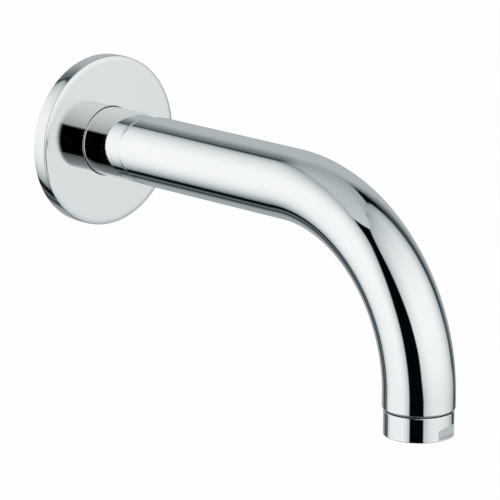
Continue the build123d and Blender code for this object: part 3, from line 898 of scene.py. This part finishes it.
def right_panel(az, el):
    """Large soft box on the right, its left edge slanting up over the camera"""
    left_edge = [(-60, -22), (-17, -30.5), (-7.5, -35), (3.7, -37), (15, -42.5), (25, -49.5)]
    left_edge += [(40, -59), (45, -61), (51, -61), (56.7, -59.5), (62, -52), (70, -42), (80, -20)]
    right_edge = [(-60, 100), (-30, 92), (-15, 88), (-10, 80), (5, 78), (40, 79), (62, 80)]
    right_edge += [(70, 72), (78, 50)]
    from_left = az - along(el, left_edge)
    from_right = along(el, right_edge) - az
    upward = np.maximum(1 - 0.55 * (np.maximum(el - 20, 0) / 55) ** 2.2, 0.2)
    downward = np.maximum(1 - 0.16 * (np.maximum(15 - el, 0) / 35) ** 2, 0.3)
    right_fall = along(el, [(-15, 0.42), (5, 0.58)])
    rightward = np.maximum(1 - right_fall * (np.maximum(az - 20, 0) / 55) ** 2.6, 0.2)
    left_fall = along(el, [(-15, 0.42), (0, 0.28), (10, 0.24), (35, 0.54), (55, 0.48), (70, 0.25)])
    leftward = 1 - left_fall * near(from_left, along(el, [(20, 40), (45, 60)]))
    dimmer_spot = 1 - 0.03 * hump(np.hypot(az - 41, el + 12.6), 14)
    glow = 0.99 * upward * downward * rightward * leftward * dimmer_spot
    return glow, soft(from_left, 4) * soft(from_right, 5) * soft(79 - el, 4)


def back_sheet(az, el):
    """Grey sheet behind on the right, fading out towards the wall side"""
    left_edge = [(-60, 122), (-30, 107), (-20, 93), (-15, 84.5), (-5, 79), (5, 81), (45, 82)]
    left_edge += [(55, 86), (65, 96)]
    upper = above_middle(el)
    end = 178 + 2 * upper
    inside = np.clip((end - az) / (20 + 10 * upper), 0, 1)
    fade = 1 - (1 - inside) ** (1.6 - 0.4 * upper)
    glow = (0.40 + 0.095 * upper) * (1 - 0.2 * soft(el - 48, 16))
    return glow, soft(az - along(el, left_edge), 28) * fade * soft(68 - el, 8)


def ceiling(az, el):
    """Grey ceiling, with a crisp rim in the gap over the camera and soft edges elsewhere"""
    rim = [(-180, 45), (-140, 44), (-110, 50), (-92, 46), (-80, 50.5), (-64, 56), (-55, 58)]
    rim += [(-45, 63), (-35, 66), (60, 70), (90, 66), (110, 58), (150, 46), (180, 45)]
    softness = [(-180, 18), (-120, 10), (-95, 1.5), (-50, 1.5), (60, 3), (90, 3), (120, 8), (180, 18)]
    to_left = (1 + np.cos(np.radians(az + 100))) / 2
    lowest = 0.19 * to_left - 0.14 + 0.10 * hump(az + 45, 30) - 0.07 * hump(180 - np.abs(az), 35)
    return 0.50 + (90 - el) / 25 * lowest, soft(el - along(az, rim), along(az, softness))


def ground(az, el):
    """Dim ground below the panels"""
    return np.full_like(az, 0.12), soft(CARD_FOOT + 2 - el, 2)


def curtain(az, el):
    """Dark curtain behind all, with the stray light in its gaps"""
    upper = above_middle(el)
    stray = 0.045 * hump(az - 84, 10) * soft(55 - el, 20)
    stray += 0.05 * upper * np.exp(-(((az - 180) / 16) ** 4))
    seam = (1 - upper) * 0.17 * hump(az - 185.5, 4.5) + upper * 0.10 * hump(az - 177, 2.2)
    return 0.002 + stray + seam, np.ones_like(az)


def collar_white(reach, turn):
    """White next to the tube, widest on the left"""
    end = COLLAR_WHITE_END - COLLAR_SLIM * ((turn - COLLAR_WIDEST) / COLLAR_SLIM_TURN) ** 2
    return np.full_like(reach, COLLAR_WHITE), soft(end - reach, COLLAR_WHITE_EDGE)


def collar_net(reach, turn):
    """Dark net round the white, thinner above and below"""
    foot = along(reach, [(47 * MM, 222), (51 * MM, 238)])
    upper = along(turn, [(20, 0.19), (90, 0.23), (125, 0.36), (143, 0.46), (149, 1)])
    lower = along(turn - foot, [(0, 1), (12, 0.72), (40, 0.56), (60, 0.3)])
    return np.zeros_like(reach), np.minimum(upper, lower)


def collar_mirror(reach, turn):
    """Mirror round the net, full all over"""
    return np.zeros_like(reach), np.ones_like(reach)


def hang_studio():
    finish = card_finish("card_glow", "light")
    hang_card("left_panel", finish, PANEL_RADIUS, steps(180, 296), steps(CARD_FOOT, 63), left_panel)
    hang_card("right_panel", finish, PANEL_RADIUS, steps(-64, 104), steps(CARD_FOOT, 80), right_panel)
    hang_card("back_sheet", finish, SHEET_RADIUS, steps(78, 181), steps(CARD_FOOT, 69), back_sheet)
    hang_card("ceiling", finish, CEILING_RADIUS, steps(-180, 180), steps(43, 90), ceiling)
    hang_card("ground", finish, CEILING_RADIUS, steps(-180, 180), steps(-90, CARD_FOOT + 2), ground)
    dark = hang_card("curtain", finish, CURTAIN_RADIUS, steps(0, 360), steps(-90, 90), curtain)
    dark.visible_diffuse = False
    dark.visible_shadow = False
    glow = card_finish("collar_glow", "light", second_only=True)
    mirror = card_finish("collar_mirror", "mirror", second_only=True)
    white_reaches = np.linspace(COLLAR_WHITE_START, COLLAR_NET_END, COLLAR_ROWS)
    net_reaches = np.linspace(COLLAR_NET_START, COLLAR_NET_END, COLLAR_ROWS)
    mirror_reaches = [COLLAR_NET_END, COLLAR_MIRROR_END]
    white_place = COLLAR_PLACE - COLLAR_APART
    collar_card("collar_white", glow, white_place, white_reaches, steps(0, 360), collar_white)
    collar_card("collar_net", glow, COLLAR_PLACE, net_reaches, steps(-30, 285), collar_net)
    collar_card("collar_mirror", mirror, COLLAR_PLACE, mirror_reaches, steps(30, 310), collar_mirror)


def pale_floor():
    """Pale floor that comes out white in the picture and in reflections, and keeps the shadow"""
    finish, nodes, link, shader = new_finish("pale_floor")
    shader.inputs["Base Color"].default_value = (0.9, 0.9, 0.9, 1)
    shader.inputs["Roughness"].default_value = 0.9
    path = nodes.new("ShaderNodeLightPath")
    either = nodes.new("ShaderNodeMath")
    either.operation = "MAXIMUM"
    any_of_three = nodes.new("ShaderNodeMath")
    any_of_three.operation = "MAXIMUM"
    share = nodes.new("ShaderNodeMath")
    share.operation = "MULTIPLY"
    share.inputs[1].default_value = FLOOR_WHITE
    white = nodes.new("ShaderNodeEmission")
    lit = nodes.new("ShaderNodeMixShader")
    clear = nodes.new("ShaderNodeBsdfTransparent")
    side = nodes.new("ShaderNodeNewGeometry")
    one_sided = nodes.new("ShaderNodeMixShader")
    output = nodes["Material Output"]
    link(path.outputs["Is Camera Ray"], either.inputs[0])
    link(path.outputs["Is Glossy Ray"], either.inputs[1])
    link(either.outputs["Value"], any_of_three.inputs[0])
    link(path.outputs["Is Transmission Ray"], any_of_three.inputs[1])
    link(any_of_three.outputs["Value"], share.inputs[0])
    link(share.outputs["Value"], lit.inputs["Fac"])
    link(shader.outputs["BSDF"], lit.inputs[1])
    link(white.outputs["Emission"], lit.inputs[2])
    link(side.outputs["Backfacing"], one_sided.inputs["Fac"])
    link(lit.outputs["Shader"], one_sided.inputs[1])
    link(clear.outputs["BSDF"], one_sided.inputs[2])
    link(one_sided.outputs["Shader"], output.inputs["Surface"])
    reach = FLOOR_SIDE / 2
    corners = [(-reach, -reach), (reach, -reach), (reach, reach), (-reach, reach)]
    mesh = bpy.data.meshes.new("pale_floor")
    mesh.from_pydata([(x, y, FLOOR_LEVEL) for x, y in corners], [], [(0, 1, 2, 3)])
    place_piece("pale_floor", mesh, [finish])


def white_surroundings():
    world = bpy.data.worlds.new("white_surroundings")
    world.use_nodes = True
    world.node_tree.nodes["Background"].inputs["Color"].default_value = (1, 1, 1, 1)
    bpy.context.scene.world = world


# Camera, at the angle and distance of the picture
VIEW_AZIMUTH = math.radians(-43.47)
VIEW_ELEVATION = math.radians(14.235)
VIEW_DISTANCE = 1.5826
AIM_RIGHT = 0.06138               # the picture's middle, from the origin
AIM_UP = -0.04552
LENS = 280.4
SENSOR = 36.0


def add_camera():
    back = Vector((
        math.sin(VIEW_AZIMUTH) * math.cos(VIEW_ELEVATION),
        -math.cos(VIEW_AZIMUTH) * math.cos(VIEW_ELEVATION),
        math.sin(VIEW_ELEVATION),
    ))
    right = Vector((math.cos(VIEW_AZIMUTH), math.sin(VIEW_AZIMUTH), 0))
    up = back.cross(right)
    lens = bpy.data.cameras.new("camera")
    lens.sensor_width = SENSOR
    lens.lens = LENS
    camera = bpy.data.objects.new("camera", lens)
    place = AIM_RIGHT * right + AIM_UP * up + VIEW_DISTANCE * back
    turn = Matrix((right, up, back)).transposed().to_4x4()
    camera.matrix_world = Matrix.Translation(place) @ turn
    bpy.context.scene.collection.objects.link(camera)
    bpy.context.scene.camera = camera


# Dress the frame
haze = polish_haze_group()
marks = turning_marks_group()
grain = moulded_grain_group()
chrome = chrome_plate("chrome_plate", haze, (0.917, 0.93, 0.932), (0.903, 0.917, 0.92))
# The flange's chrome is a darker copy of the tube's: painted shade that dims the flange's reflections.
flange_chrome_painted_shade = chrome_plate("chrome_plate_flange_painted_shade", haze, (0.858, 0.875, 0.879), (0.846, 0.863, 0.868))
back_plate = unpolished_plate("unpolished_plate", haze, marks, (0.65, 0.64, 0.61), (0.57, 0.56, 0.52))
# Bore plating: the unpolished plate made much darker, painted shade inside the tube and the aerator
# ring.
bore_plate_painted_shade = unpolished_plate("bore_plate_painted_shade", haze, marks, (0.27, 0.28, 0.28), (0.2, 0.21, 0.21))
brass = turned_brass("turned_brass", haze, marks, (0, 1, 0), (0.80, 0.62, 0.33), (0.72, 0.53, 0.26))
# Outlet bush brass: the turned brass made much darker, painted shade of the gap inside the nose.
outlet_brass_painted_shade = turned_brass("outlet_brass_painted_shade", haze, marks, (0, 0, 1), (0.26, 0.24, 0.20), (0.20, 0.18, 0.15))
steel = bare_steel(haze)
rubber = moulded_rubber(grain)
foam = cell_foam(grain)
plastic = satin_plastic(grain)

new_pieces = [
    (spout_tube(chrome, bore_plate_painted_shade), "spout_tube", "chrome"),
    (wall_flange(flange_chrome_painted_shade, back_plate), "wall_flange", "chrome"),
    (aerator_housing(chrome, bore_plate_painted_shade), "aerator_housing", "chrome"),
    (connection_nipple(brass), "connection_nipple", "brass"),
]
for piece, node, slot in new_pieces:
    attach(piece, "root")
    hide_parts(node)

carried_over = {
    "inlet_bush": brass,
    "outlet_bush": outlet_brass_painted_shade,
    "grub_screw": steel,
    "nipple_o_ring_1": rubber,
    "nipple_o_ring_2": rubber,
    "flange_o_ring": rubber,
    "aerator_gasket": rubber,
    "wall_seal": foam,
    "strainer_dome": plastic,
    "jet_divider": plastic,
    "jet_regulator": plastic,
}
for node, finish in carried_over.items():
    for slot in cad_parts[node].material_slots:
        slot.material = finish

hang_studio()
pale_floor()
white_surroundings()
add_camera()
bpy.context.scene.view_settings.view_transform = "Standard"
